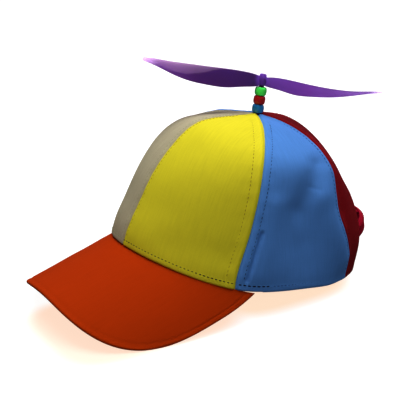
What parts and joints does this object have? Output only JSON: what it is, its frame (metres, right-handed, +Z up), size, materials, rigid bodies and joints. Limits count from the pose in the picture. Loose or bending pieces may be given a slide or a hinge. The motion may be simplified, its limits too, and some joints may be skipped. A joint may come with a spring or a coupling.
{
  "type": "propeller beanie cap",
  "caption": "Soft cloth cap with coloured panels, a curved bill and a back closure strap, with a propeller that spins freely on a short beaded stem on its top.",
  "frame": {"origin": "middle of the underside of the resting cap's box, on the surface that it rests on", "axes": "+Z up, -Y towards the bill, +X towards the wearer's left"},
  "size_m": [0.165, 0.2788, 0.1708],
  "materials": {
    "yellow_cloth": "matte twill",
    "grey_cloth": "matte twill",
    "blue_cloth": "matte twill",
    "dark_red_cloth": "matte twill",
    "orange_cloth": "matte cloth over a stiff core",
    "red_cloth": "matte webbing",
    "stem_plastic": "smooth",
    "blue_bead": "glossy",
    "red_bead": "glossy",
    "green_bead": "glossy",
    "propeller_plastic": "glossy, slightly translucent"
  },
  "bodies": {
    "cap": {"panel_front_left": "yellow_cloth", "panel_front_right": "grey_cloth", "panel_side_left": "blue_cloth", "panel_side_right": "blue_cloth", "panel_back_left": "dark_red_cloth", "panel_back_right": "dark_red_cloth", "bill": "orange_cloth", "strap_left": "red_cloth", "strap_right": "red_cloth", "stem": "stem_plastic", "bead_blue": "blue_bead", "bead_red": "red_bead", "bead_green": "green_bead"},
    "propeller": {"propeller": "propeller_plastic"}
  },
  "joints": [
    {"name": "propeller_spin", "type": "hinge", "parent": "cap", "child": "propeller", "pos_m": [0, 0.05091, 0.152], "axis": [0, 0.192, 0.9814], "continuous": true}
  ]
}
